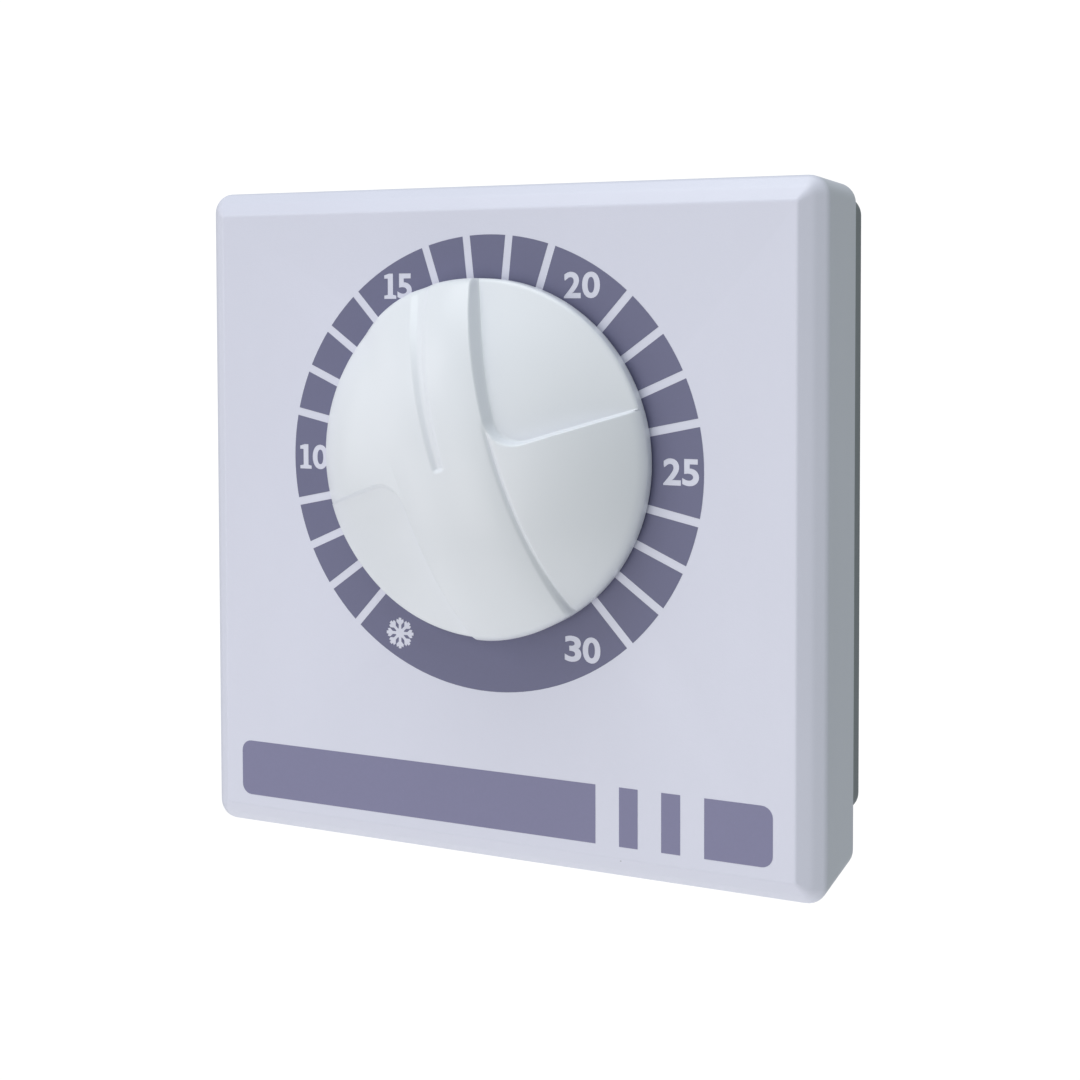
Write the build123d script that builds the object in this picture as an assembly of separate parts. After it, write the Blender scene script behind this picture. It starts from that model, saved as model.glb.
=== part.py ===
from build123d import *
import math
import os

# Wall thermostat with a turning dial, in millimetres.
# Every piece is drawn as if the wall were the ground: x to the right, y up the wall, z out of the
# wall. At the end each one is turned upright, so that the wall is the plane Y = 0, the front
# looks along -Y and +Z is up. The origin is the middle of the cover's square, on the wall.

# ---- Casing ---------------------------------------------------------------------------------
cover_width = 80.0
cover_height = 79.5
cover_corner_radius = 3.2
cover_bevel_width = 2.9
cover_bevel_depth = 2.3
cover_wall = 2.0
cover_face = 2.0
cover_inner_bevel = 1.2
base_depth = 6.4                # from the wall to the cover's rear edge
base_floor = 2.0
base_side_inset = 1.0           # how far the base stands back from the cover's outline
base_top_inset = 1.0
base_bottom_inset = 4.6
base_corner_radius = 2.4
lip_clearance = 0.25            # between the base's lip and the inside of the cover
lip_thickness = 1.35
lip_height = 3.0
lug_offset = 20.0               # the two lugs that hold the top of the cover
lug_width = 8.0
lug_reach = 0.9
lug_thickness = 1.2
lug_clearance = 0.25
vent_count = 11
vent_pitch = 5.0
vent_width = 1.8
vent_margin = 1.2
vent_end_flat = 0.2             # left in the middle of a slot's round end

# ---- Wall fixing and cable entry ------------------------------------------------------------
wall_screw_pitch = 60.0
wall_slot_radius = 2.1
wall_slot_length = 7.0
entry_width = 18.0
entry_height = 9.0
entry_x = -9.0
entry_gap = 1.25                # between the cable entry and the terminal block
entry_corner_radius = 1.5

# ---- Knob -----------------------------------------------------------------------------------
knob_up = 8.1                   # height of the dial's axis above the middle of the cover
knob_radius = 20.7
knob_gap = 0.4                  # between the knob and the cover's face
knob_rim = 1.9                  # heights above the cover's face
knob_dome = 9.6
knob_crest = 11.9
knob_crest_end = 4.3
knob_wall = 1.8
knob_inner_drop = 0.5           # how far the hollow's rim is below the outside
grip_width = 12.2
grip_edge_radius = 1.4
groove_width = 1.0
groove_depth = 0.6
groove_end = -0.7               # where the pointer groove stops, just past the axis
pointer_angle = 108.0           # from +x, anticlockwise: 16 degrees on the dial
coldest_angle = 240.0
warmest_angle = -60.0
boss_radius = 4.5
boss_gap = 0.6

# ---- Stop, screw and hole under the knob ----------------------------------------------------
stop_inner_radius = 8.0
stop_outer_radius = 11.8
stop_margin = 1.0               # degrees of turn left over at each end of the dial
stop_height = 1.5
dial_hole_radius = 5.5
cover_screw_reach = 14.5
cover_screw_radius = 1.25
cover_screw_head_radius = 2.3
cover_screw_head = 1.5
cover_screw_length = 4.0
cover_screw_recess = 1.0
screw_clearance = 0.2           # round a screw's shank, in a plain hole
thread_clearance = 0.02         # round a screw's shank, in the hole that it is cut into

# ---- Spindle and bridge ---------------------------------------------------------------------
shaft_radius = 2.0
shaft_flat = 1.5                # from the axis to the flat
shaft_top = 6.5                 # above the cover's face
shaft_flat_start = 0.9
running_clearance = 0.03
press_clearance = 0.01
bridge_thickness = 1.2
bridge_gap = 0.4                # between the bridge and the inside of the cover's face
bridge_half_length = 21.5
bridge_width = 13.0
bridge_foot_height = 6.0
bridge_boss_wall = 2.0
bridge_foot_end = 28.6
bridge_screw_offset = 25.0
bridge_screw_radius = 1.15
bridge_screw_head_radius = 2.2
bridge_screw_head = 1.3
bridge_screw_length = 5.2
bush_flange_radius = 4.2
bush_flange = 0.6
bush_radius = 3.2
bush_rise = 0.5                 # above the bridge
thread_radius = 2.5
thread_pitch = 1.2
thrust_clearance = 0.05
clip_thickness = 0.5
clip_radius = 3.4
clip_groove_radius = 1.5
clip_mouth = 2.7
washer_thickness = 0.3
grip_clip_thickness = 0.5
grip_clip_height = 2.0
grip_clip_mouth = 2.0

# ---- Carriage and gas capsule ---------------------------------------------------------------
carriage_thickness = 1.0
carriage_width = 12.0
carriage_half_length = 19.8
carriage_hub_radius = 4.5
carriage_hub_height = 3.05
carriage_disc_radius = 9.0
travel_clearance = 0.1          # left at each end of what moves along the axis
pin_offset = 18.2
pin_radius = 1.2
pin_socket_radius = 2.4
pin_socket_height = 3.5
capsule_radius = 16.0
capsule_height = 2.6
capsule_sheet = 0.35
capsule_rise = 0.6              # depth of the shell's corrugation
capsule_fold = 1.3              # from one bend of the corrugation to the next
button_radius = 3.4
button_clearance = 0.15
button_proud = 0.6
button_flange_radius = 5.0
button_flange = 0.35
button_swell = 0.3              # how far warm air pushes the button out
spring_radius = 1.85
spring_wire = 0.4
spring_turns = 5

# ---- Snap switch ----------------------------------------------------------------------------
switch_length = 12.8
switch_width = 5.8
switch_height = 5.7
switch_wall = 0.9
plunger_radius = 1.0
plunger_proud = 0.8
plunger_travel = 0.6
plunger_flange_radius = 1.5
plunger_flange = 0.6
blade_thickness = 0.2
blade_width = 2.4
contact_radius = 0.8
contact_gap = 0.3
cradle_thickness = 1.2
cradle_height = 2.2
cradle_clearance = 0.1

# ---- Terminals ------------------------------------------------------------------------------
terminal_count = 4
terminal_pitch = 8.0
block_length = 34.0
block_height = 9.4
block_depth = 9.0
block_gap = 0.5                 # between the block and the base's lower lip
block_floor = 2.0
block_front = 1.6
chamber_width = 5.4
chamber_length = 6.6
clamp_clearance = 0.15
clamp_side = 0.8
clamp_top = 1.2
clamp_length = 5.0
terminal_screw_radius = 1.25
terminal_screw_head_radius = 1.85
terminal_screw_head = 1.1
block_lug = 5.0
block_lug_width = 5.0
block_lug_thickness = 2.0
block_boss_height = 3.0
block_boss_radius = 2.4
block_screw_radius = 1.1
block_screw_head_radius = 2.0
block_screw_head = 1.2
block_screw_length = 3.8
strip_width = 2.4
strip_thickness = 0.8
resistor_radius = 1.05
resistor_length = 7.0
resistor_lead_radius = 0.3
resistor_lead_length = 21.0
slot_width = 0.6                # of a screw's head
slot_depth = 0.5
past = 1.0                      # how far a cut runs past what it cuts

# ---- Places worked out from the sizes above -------------------------------------------------
half_width = cover_width / 2
half_height = cover_height / 2

base_half_width = half_width - base_side_inset
base_top = half_height - base_top_inset
base_bottom = base_bottom_inset - half_height
lip_half_width = half_width - cover_wall - lip_clearance
lip_top = half_height - cover_wall - lip_clearance
base_shoulder = base_half_width - lip_half_width
lip_bottom = base_bottom + base_shoulder
lip_front = base_depth + lip_height
hollow_half_width = lip_half_width - lip_thickness
hollow_top = lip_top - lip_thickness
hollow_bottom = lip_bottom + lip_thickness

turn_up = coldest_angle - pointer_angle
turn_down = pointer_angle - warmest_angle
carriage_rearward = thread_pitch * turn_up / 360
carriage_forward = thread_pitch * turn_down / 360

# The mechanism stacks up from the base's floor, and it sets how deep the casing is.
switch_back = base_floor
switch_front = switch_back + switch_height
plunger_tip = switch_front + plunger_proud
button_back = plunger_tip + travel_clearance + button_swell + carriage_rearward
capsule_back = button_back + button_proud
capsule_front = capsule_back + capsule_height
carriage_front = capsule_front + carriage_thickness
hub_front = capsule_front + carriage_hub_height
thread_back = capsule_front + carriage_forward + travel_clearance
thread_front = hub_front + carriage_forward + travel_clearance
bush_back = thread_front + thrust_clearance
bridge_back = bush_back + bush_flange
bridge_front = bridge_back + bridge_thickness
bush_front = bridge_front + bush_rise
washer_back = bush_front + thrust_clearance
clip_back = washer_back + washer_thickness + thrust_clearance
face_back = bridge_front + bridge_gap
casing_depth = face_back + cover_face

switch_hollow_back = switch_back + switch_wall
switch_hollow_front = switch_front - switch_wall
plunger_flange_front = switch_hollow_front - travel_clearance
plunger_back = plunger_flange_front - plunger_flange
blade_front = plunger_back - plunger_travel - travel_clearance
blade_back = blade_front - blade_thickness

block_bottom = hollow_bottom + block_gap
block_top = block_bottom + block_height
block_back = base_floor
block_front_face = block_back + block_depth
chamber_back = block_back + block_floor
chamber_front = block_front_face - block_front
terminal_y = block_top - chamber_length + clamp_length / 2 + clamp_clearance
terminal_xs = [terminal_pitch * (i - (terminal_count - 1) / 2) for i in range(terminal_count)]
block_lug_y = (block_bottom + block_top) / 2
block_screw_x = block_length / 2 + block_lug / 2
common_x = terminal_xs[2]
output_x = terminal_xs[3]
entry_y = block_top + entry_gap + entry_height / 2

switch_low = knob_up - switch_width / 2
switch_high = knob_up + switch_width / 2
lid_low = switch_high - switch_wall
switch_half = switch_length / 2
inner_half = switch_half - switch_wall

clamp_back = chamber_back + clamp_clearance
clamp_front = chamber_front - clamp_clearance
window_back = clamp_back + clamp_side
window_front = clamp_front - clamp_top

resistor_x = block_length / 2 - resistor_radius
resistor_low_end = block_top
resistor_high_end = block_top + resistor_lead_length
resistor_z = base_floor + strip_thickness + resistor_lead_radius


# ---- Drawing helpers ------------------------------------------------------------------------
def block(x0, x1, y0, y1, z0, z1, corner=0.0):
    """A box between two corners, with its edges along z rounded."""
    width = x1 - x0
    height = y1 - y0
    outline = RectangleRounded(width, height, corner) if corner else Rectangle(width, height)
    return Pos((x0 + x1) / 2, (y0 + y1) / 2, z0) * extrude(outline, z1 - z0)


def rod(radius, x, y, z0, z1):
    """A round bar along z."""
    return Pos(x, y, (z0 + z1) / 2) * Cylinder(radius, z1 - z0)


def ring(outer, inner, x, y, z0, z1):
    """A round bar along z with a round hole through it."""
    return rod(outer, x, y, z0, z1) - rod(inner, x, y, z0 - past, z1 + past)


def sector(inner, outer, middle, half_angle, z0, z1):
    """A piece of a ring, middle and half_angle in degrees."""
    outside = CenterArc((0, 0), outer, middle - half_angle, 2 * half_angle)
    inside = CenterArc((0, 0), inner, middle - half_angle, 2 * half_angle)
    ends = Line(inside @ 0, outside @ 0) + Line(inside @ 1, outside @ 1)
    return Pos(0, 0, z0) * extrude(make_face(outside + inside + ends), z1 - z0)


def screw(x, y, seat, length, radius, head_radius, head):
    """A screw whose head sits on seat, with a slot in its head."""
    body = rod(radius, x, y, seat - length, seat) + rod(head_radius, x, y, seat, seat + head)
    slot_back = seat + head - slot_depth
    half = slot_width / 2
    slot = block(x - head_radius, x + head_radius, y - half, y + half, slot_back, seat + head + past)
    return body - slot


def turned(points):
    """A solid of revolution about z from (radius, z) corners."""
    outline = make_face(Polyline(*[(r, 0, z) for r, z in points], close=True))
    return revolve(outline, Axis.Z, 360)


# ---- Casing ---------------------------------------------------------------------------------
def make_base_plate():
    tray = block(-base_half_width, base_half_width, base_bottom, base_top, 0, base_depth,
                 base_corner_radius)
    lip = block(-lip_half_width, lip_half_width, lip_bottom, lip_top, base_floor, lip_front,
                base_corner_radius)
    hollow = block(-hollow_half_width, hollow_half_width, hollow_bottom, hollow_top,
                   base_floor, lip_front + past, base_corner_radius / 2)
    tray = tray + lip - hollow
    lug_front = lip_front - lip_thickness / 2
    for x in (-lug_offset, lug_offset):
        tray += block(x - lug_width / 2, x + lug_width / 2, hollow_top, lip_top + lug_reach,
                      lug_front - lug_thickness, lug_front)

    for x in (-bridge_screw_offset, bridge_screw_offset):
        tray += rod(bridge_screw_radius + bridge_boss_wall, x, knob_up, 0, bridge_foot_height)
        tray -= rod(bridge_screw_radius + thread_clearance, x, knob_up,
                    bridge_foot_height + bridge_thickness - bridge_screw_length - travel_clearance,
                    bridge_foot_height + past)
    for x in (-pin_offset, pin_offset):
        tray += rod(pin_socket_radius, x, knob_up, 0, base_floor + pin_socket_height)
        tray -= rod(pin_radius + press_clearance, x, knob_up, base_floor,
                    base_floor + pin_socket_height + past)
    for x in (-block_screw_x, block_screw_x):
        tray += rod(block_boss_radius, x, block_lug_y, 0, base_floor + block_boss_height)
        tray -= rod(block_screw_radius + thread_clearance, x, block_lug_y,
                    base_floor + block_boss_height + block_lug_thickness - block_screw_length
                    - travel_clearance, base_floor + block_boss_height + past)
    for side in (-1, 1):
        near = side * (switch_length / 2 + cradle_clearance)
        far = near + side * cradle_thickness
        tray += block(min(near, far), max(near, far), knob_up - switch_width / 2, knob_up, 0,
                      base_floor + cradle_height)

    slot = extrude(SlotOverall(wall_slot_length, 2 * wall_slot_radius), base_floor + 2 * past)
    for x in (-wall_screw_pitch / 2, wall_screw_pitch / 2):
        tray -= Pos(x, 0, -past) * slot
    tray -= block(entry_x - entry_width / 2, entry_x + entry_width / 2,
                  entry_y - entry_height / 2, entry_y + entry_height / 2,
                  -past, base_floor + past, entry_corner_radius)
    return tray


def make_cover():
    shell = block(-half_width, half_width, -half_height, half_height, base_depth, casing_depth,
                  cover_corner_radius)
    front = shell.faces().sort_by(Axis.Z)[-1]
    shell = chamfer(front.edges(), cover_bevel_width, cover_bevel_depth, reference=front)
    inside = block(-half_width + cover_wall, half_width - cover_wall,
                   -half_height + cover_wall, half_height - cover_wall,
                   base_depth - past, face_back, cover_corner_radius / 2)
    inside = chamfer(inside.faces().sort_by(Axis.Z)[-1].edges(), cover_inner_bevel)
    shell -= inside

    lug_front = lip_front - lip_thickness / 2
    for x in (-lug_offset, lug_offset):
        reach = lug_width / 2 + lug_clearance
        shell -= block(x - reach, x + reach, lip_top, lip_top + lug_reach + lug_clearance,
                       lug_front - lug_thickness - lug_clearance, lug_front + lug_clearance)
    vent_half = vent_width / 2
    for i in range(vent_count):
        x = vent_pitch * (i - (vent_count - 1) / 2)
        for y in (-half_height, half_height):
            shell -= block(x - vent_half, x + vent_half, y - cover_wall - past, y + cover_wall + past,
                           lip_front + vent_margin, face_back - 2 * vent_margin,
                           vent_half - vent_end_flat / 2)

    free_turn = turn_up + turn_down + 2 * stop_margin
    half_angle = (360 - free_turn) / 4
    opposite = (coldest_angle + warmest_angle) / 2 + 180
    stop = sector(stop_inner_radius, stop_outer_radius, opposite, half_angle,
                  casing_depth - cover_face / 2, casing_depth + stop_height)
    shell += Pos(0, knob_up, 0) * stop
    shell -= rod(dial_hole_radius, 0, knob_up, face_back - past, casing_depth + stop_height + past)
    shell -= rod(cover_screw_radius + screw_clearance, cover_screw_reach, knob_up,
                 face_back - past, casing_depth + past)
    shell -= rod(cover_screw_head_radius + screw_clearance, cover_screw_reach, knob_up,
                 casing_depth - cover_screw_recess, casing_depth + past)
    return shell


def make_cover_screw():
    return screw(cover_screw_reach, knob_up, casing_depth - cover_screw_recess, cover_screw_length,
                 cover_screw_radius, cover_screw_head_radius, cover_screw_head)


# ---- Knob, drawn about its own axis with the pointer along +x -------------------------------
def dome(radius, edge_height, top, foot):
    """A disc with an arched top: edge_height at its rim, top at the middle."""
    drop = top - edge_height
    arch = (radius * radius + drop * drop) / (2 * drop)
    middle = radius / 2
    middle_height = top - arch + math.sqrt(arch * arch - middle * middle)
    sides = Polyline((0, 0, top), (0, 0, foot), (radius, 0, foot), (radius, 0, edge_height))
    over = ThreePointArc((radius, 0, edge_height), (middle, 0, middle_height), (0, 0, top))
    return revolve(make_face(sides + over), Axis.Z, 360)


def arch(half_length, width, end_height, top, foot):
    """A straight rib along x with an arched top."""
    sides = Polyline((half_length, 0, end_height), (half_length, 0, foot),
                     (-half_length, 0, foot), (-half_length, 0, end_height))
    over = ThreePointArc((-half_length, 0, end_height), (0, 0, top),
                         (half_length, 0, end_height))
    return extrude(make_face(sides + over), width / 2, both=True)


def make_knob():
    body = dome(knob_radius, knob_rim, knob_dome, knob_gap)
    grip = arch(knob_radius, grip_width, knob_crest_end, knob_crest, knob_gap)
    long_edges = grip.edges().filter_by(GeomType.CIRCLE)
    grip = fillet(long_edges, grip_edge_radius)
    body += grip & rod(knob_radius, 0, 0, knob_gap, knob_crest)

    inner_radius = knob_radius - knob_wall
    inner_width = grip_width - 2 * knob_wall
    hollow = dome(inner_radius, knob_rim - knob_inner_drop, knob_dome - knob_wall, knob_gap - past)
    channel = arch(inner_radius, inner_width, knob_crest_end - knob_wall, knob_crest - knob_wall,
                   knob_gap - past)
    hollow += channel & rod(inner_radius, 0, 0, knob_gap - past, knob_crest)
    hollow -= rod(boss_radius, 0, 0, knob_gap + boss_gap, knob_crest)
    free_turn = turn_up + turn_down + 2 * stop_margin
    half_angle = (360 - free_turn) / 4
    hollow -= sector(stop_inner_radius, stop_outer_radius, 0, half_angle,
                     knob_gap, knob_crest)
    body -= hollow

    shaft_hole = rod(shaft_radius + press_clearance, 0, 0, 0, shaft_top + travel_clearance)
    flat = shaft_flat + press_clearance
    shaft_hole -= block(flat, flat + shaft_radius, -knob_radius, knob_radius,
                        -past, shaft_top + past)
    body -= shaft_hole

    groove_half = groove_width / 2
    groove = arch(knob_radius + past, groove_width, knob_crest_end + past, knob_crest + past, 0)
    groove -= arch(knob_radius + past, groove_width + past, knob_crest_end - groove_depth,
                   knob_crest - groove_depth, -past)
    groove &= block(groove_end, knob_radius + past, -groove_half, groove_half, 0, knob_crest + 2 * past)
    body -= groove
    return body


def on_dial(shape):
    """Moves a shape drawn about the knob's own axis to its place, pointer and all."""
    return Pos(0, knob_up, casing_depth) * Rot(0, 0, pointer_angle) * shape


def make_spindle():
    back = thread_back - casing_depth
    thread_end = thread_front - casing_depth
    groove_back = clip_back - casing_depth
    shaft = rod(thread_radius, 0, 0, back, thread_end)
    shaft += rod(shaft_radius, 0, 0, thread_end, shaft_top)
    shaft -= ring(shaft_radius + past, clip_groove_radius, 0, 0, groove_back - press_clearance,
                  groove_back + clip_thickness + press_clearance)
    shaft -= block(shaft_flat, shaft_flat + shaft_radius, -shaft_radius, shaft_radius,
                   shaft_flat_start, shaft_top + past)
    return shaft


def make_spindle_clip():
    back = clip_back - casing_depth
    front = back + clip_thickness
    clip = ring(clip_radius, clip_groove_radius + running_clearance, 0, 0, back, front)
    half_mouth = clip_mouth / 2
    return clip - block(0, clip_radius + past, -half_mouth, half_mouth, back - past, front + past)


def make_friction_washer():
    back = washer_back - casing_depth
    return ring(clip_radius, shaft_radius + running_clearance, 0, 0, back,
                back + washer_thickness)


def make_grip_clip():
    back = knob_gap + 2 * boss_gap
    front = back + grip_clip_height
    band = ring(boss_radius + grip_clip_thickness, boss_radius + press_clearance, 0, 0, back, front)
    half_mouth = grip_clip_mouth / 2
    return band - block(0, boss_radius + past, -half_mouth, half_mouth, back - past, front + past)


# ---- Bridge over the capsule ----------------------------------------------------------------
def make_mechanism_bridge():
    low = knob_up - bridge_width / 2
    high = knob_up + bridge_width / 2
    strap = block(-bridge_half_length, bridge_half_length, low, high, bridge_back, bridge_front)
    for side in (-1, 1):
        leg_out = side * bridge_half_length
        leg_in = leg_out - side * bridge_thickness
        foot_end = side * bridge_foot_end
        strap += block(min(leg_out, leg_in), max(leg_out, leg_in), low, high,
                       bridge_foot_height, bridge_front)
        strap += block(min(leg_in, foot_end), max(leg_in, foot_end), low, high,
                       bridge_foot_height, bridge_foot_height + bridge_thickness)
        strap -= rod(bridge_screw_radius + screw_clearance, side * bridge_screw_offset, knob_up,
                     bridge_foot_height - past, bridge_foot_height + bridge_thickness + past)
        strap -= rod(pin_radius + press_clearance, side * pin_offset, knob_up,
                     bridge_back - past, bridge_front + past)
    strap -= rod(bush_radius + press_clearance, 0, knob_up, bridge_back - past, bridge_front + past)
    strap -= rod(cover_screw_radius + thread_clearance, cover_screw_reach, knob_up,
                 bridge_back - past, bridge_front + past)
    return strap


def make_bridge_screws():
    seat = bridge_foot_height + bridge_thickness
    return [screw(x, knob_up, seat, bridge_screw_length, bridge_screw_radius,
                  bridge_screw_head_radius, bridge_screw_head)
            for x in (-bridge_screw_offset, bridge_screw_offset)]


def make_spindle_bush():
    bush = rod(bush_flange_radius, 0, knob_up, bush_back, bridge_back)
    bush += rod(bush_radius, 0, knob_up, bridge_back, bush_front)
    return bush - rod(shaft_radius + running_clearance, 0, knob_up, bush_back - past, bush_front + past)


def make_guide_pins():
    return [rod(pin_radius, x, knob_up, base_floor, bridge_front)
            for x in (-pin_offset, pin_offset)]


def make_backlash_springs():
    low = base_floor + pin_socket_height + spring_wire
    high = capsule_front - carriage_rearward - travel_clearance - 2 * spring_wire
    pitch = (high - low) / spring_turns
    coil = Helix(pitch, high - low, spring_radius)
    section = Plane(coil @ 0, z_dir=coil % 0) * Circle(spring_wire / 2)
    spring = sweep(section, path=coil, is_frenet=True)
    return [Pos(x, knob_up, low) * spring for x in (-pin_offset, pin_offset)]


# ---- Carriage and gas capsule ---------------------------------------------------------------
def make_capsule_carriage():
    half = carriage_width / 2
    plate = block(-carriage_half_length, carriage_half_length, knob_up - half, knob_up + half,
                  capsule_front, carriage_front, half / 3)
    plate += rod(carriage_disc_radius, 0, knob_up, capsule_front, carriage_front)
    plate += rod(carriage_hub_radius, 0, knob_up, carriage_front, hub_front)
    plate -= rod(thread_radius + running_clearance, 0, knob_up, capsule_front - past, hub_front + past)
    for x in (-pin_offset, pin_offset):
        plate -= rod(pin_radius + running_clearance, x, knob_up, capsule_front - past,
                     carriage_front + past)
    return plate


def capsule_outline(inner_radius):
    """Corrugated shell from the capsule's seam up to its flat middle, as (radius, z) corners."""
    seam = capsule_height / 2
    top = [(inner_radius, seam), (carriage_disc_radius, seam),
           (carriage_disc_radius + capsule_fold, seam - capsule_rise),
           (carriage_disc_radius + 2 * capsule_fold, seam - capsule_rise / 3),
           (carriage_disc_radius + 3 * capsule_fold, seam - capsule_rise),
           (carriage_disc_radius + 4 * capsule_fold, capsule_sheet),
           (capsule_radius, capsule_sheet)]
    return top + [(r, z - capsule_sheet) for r, z in reversed(top)]


def make_capsule_front():
    middle = (capsule_front + capsule_back) / 2
    return Pos(0, knob_up, middle) * turned(capsule_outline(0))


def make_capsule_rear():
    middle = (capsule_front + capsule_back) / 2
    shell = turned(capsule_outline(button_radius + button_clearance))
    return Pos(0, knob_up, middle) * Rot(180, 0, 0) * shell


def make_capsule_button():
    shell_front = capsule_back + capsule_sheet
    flange_back = shell_front + button_swell + travel_clearance
    button = rod(button_radius, 0, knob_up, button_back, flange_back)
    return button + rod(button_flange_radius, 0, knob_up, flange_back, flange_back + button_flange)


# ---- Snap switch ----------------------------------------------------------------------------
def make_switch_case():
    case = block(-switch_half, switch_half, switch_low, lid_low, switch_back, switch_front)
    case -= block(-inner_half, inner_half, switch_low + switch_wall, lid_low + past,
                  switch_hollow_back, switch_hollow_front)
    return case - rod(plunger_radius + running_clearance, 0, knob_up, switch_hollow_front - past,
                      switch_front + past)


def make_switch_lid():
    return block(-switch_half, switch_half, lid_low, switch_high, switch_back, switch_front)


def make_switch_plunger():
    plunger = rod(plunger_radius, 0, knob_up, plunger_flange_front, plunger_tip)
    return plunger + rod(plunger_flange_radius, 0, knob_up, plunger_back, plunger_flange_front)


def make_switch_blade():
    half = blade_width / 2
    post_end = contact_radius - inner_half
    tip = inner_half - contact_radius
    blade = block(-inner_half, tip, knob_up - half, knob_up + half, blade_back, blade_front)
    blade += block(-inner_half, post_end, knob_up - half, knob_up + half,
                   switch_hollow_back, blade_back)
    middle = (switch_hollow_back + blade_back) / 2
    contact_back = middle + contact_gap / 2
    return blade + rod(contact_radius, tip - contact_radius, knob_up, contact_back, blade_back)


def make_switch_fixed_contact():
    half = blade_width / 2
    tip = inner_half - contact_radius
    strip_front = switch_hollow_back + blade_thickness
    strip = block(0, inner_half, knob_up - half, knob_up + half, switch_hollow_back, strip_front)
    middle = (switch_hollow_back + blade_back) / 2
    contact_front = middle - contact_gap / 2
    return strip + rod(contact_radius, tip - contact_radius, knob_up, strip_front, contact_front)


# ---- Terminals and wiring -------------------------------------------------------------------
def make_terminal_block():
    half = block_length / 2
    body = block(-half, half, block_bottom, block_top, block_back, block_front_face)
    lug_back = base_floor + block_boss_height
    body += block(-half - block_lug, half + block_lug, block_lug_y - block_lug_width / 2,
                  block_lug_y + block_lug_width / 2, lug_back, lug_back + block_lug_thickness)
    for x in terminal_xs:
        body -= block(x - chamber_width / 2, x + chamber_width / 2, block_top - chamber_length,
                      block_top + past, chamber_back, chamber_front)
        body -= rod(terminal_screw_head_radius + screw_clearance, x, terminal_y,
                    chamber_front - past, block_front_face + past)
    for x in (-block_screw_x, block_screw_x):
        body -= rod(block_screw_radius + screw_clearance, x, block_lug_y, lug_back - past,
                    lug_back + block_lug_thickness + past)
    return body


def make_terminal_clamps():
    half = chamber_width / 2 - clamp_clearance
    low = terminal_y - clamp_length / 2
    high = terminal_y + clamp_length / 2
    clamps = []
    for x in terminal_xs:
        clamp = block(x - half, x + half, low, high, clamp_back, clamp_front)
        clamp -= block(x - half + clamp_side, x + half - clamp_side, low - past, high + past,
                       window_back, window_front)
        clamp -= rod(terminal_screw_radius + thread_clearance, x, terminal_y,
                     window_front - past, clamp_front + past)
        clamps.append(clamp)
    return clamps


def make_terminal_screws():
    shank = clamp_front - window_front + clamp_top / 2
    return [screw(x, terminal_y, clamp_front + clamp_clearance, shank + clamp_clearance,
                  terminal_screw_radius, terminal_screw_head_radius, terminal_screw_head)
            for x in terminal_xs]


def make_block_screws():
    seat = base_floor + block_boss_height + block_lug_thickness
    return [screw(x, block_lug_y, seat, block_screw_length, block_screw_radius,
                  block_screw_head_radius, block_screw_head)
            for x in (-block_screw_x, block_screw_x)]


def terminal_strip(x, far_end):
    """A brass strip on the base's floor, bent up at the block and into the clamp's window."""
    half = strip_width / 2
    floor_front = base_floor + strip_thickness
    bend = block_top + clamp_clearance
    tongue_back = window_back + clamp_clearance
    tongue_front = tongue_back + strip_thickness
    strip = block(x - half, x + half, bend, far_end, base_floor, floor_front)
    strip += block(x - half, x + half, bend, bend + strip_thickness, base_floor, tongue_front)
    return strip + block(x - half, x + half, terminal_y, bend, tongue_back, tongue_front)


def make_common_strip():
    return terminal_strip(common_x, switch_low - clamp_clearance)


def make_output_strip():
    half = strip_width / 2
    end = knob_up + strip_width
    strip = terminal_strip(output_x, end)
    near = switch_half + clamp_clearance
    strip += block(near, output_x + half, end - strip_width, end,
                   base_floor, base_floor + strip_thickness)
    tab_high = resistor_high_end
    return strip + block(output_x, resistor_x + 2 * resistor_lead_radius, tab_high - strip_width,
                         tab_high, base_floor, base_floor + strip_thickness)


def make_accelerator_resistor():
    lead_middle = (resistor_low_end + resistor_high_end) / 2
    body_middle = lead_middle - strip_width
    lead = Cylinder(resistor_lead_radius, resistor_lead_length, rotation=(90, 0, 0))
    body = Cylinder(resistor_radius, resistor_length, rotation=(90, 0, 0))
    lead = Pos(resistor_x, lead_middle, resistor_z) * lead
    return lead + Pos(resistor_x, body_middle, resistor_z) * body


pieces = {
    "base_plate": make_base_plate(),
    "cover": make_cover(),
    "cover_screw": make_cover_screw(),
    "mechanism_bridge": make_mechanism_bridge(),
    "bridge_screws": make_bridge_screws(),
    "spindle_bush": make_spindle_bush(),
    "guide_pins": make_guide_pins(),
    "backlash_springs": make_backlash_springs(),
    "switch_case": make_switch_case(),
    "switch_lid": make_switch_lid(),
    "switch_blade": make_switch_blade(),
    "switch_fixed_contact": make_switch_fixed_contact(),
    "terminal_block": make_terminal_block(),
    "terminal_clamps": make_terminal_clamps(),
    "terminal_screws": make_terminal_screws(),
    "block_screws": make_block_screws(),
    "common_strip": make_common_strip(),
    "output_strip": make_output_strip(),
    "accelerator_resistor": make_accelerator_resistor(),
    "knob": on_dial(make_knob()),
    "spindle": on_dial(make_spindle()),
    "spindle_clip": on_dial(make_spindle_clip()),
    "friction_washer": on_dial(make_friction_washer()),
    "grip_clip": on_dial(make_grip_clip()),
    "capsule_carriage": make_capsule_carriage(),
    "capsule_front": make_capsule_front(),
    "capsule_rear": make_capsule_rear(),
    "capsule_button": make_capsule_button(),
    "switch_plunger": make_switch_plunger(),
}

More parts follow.
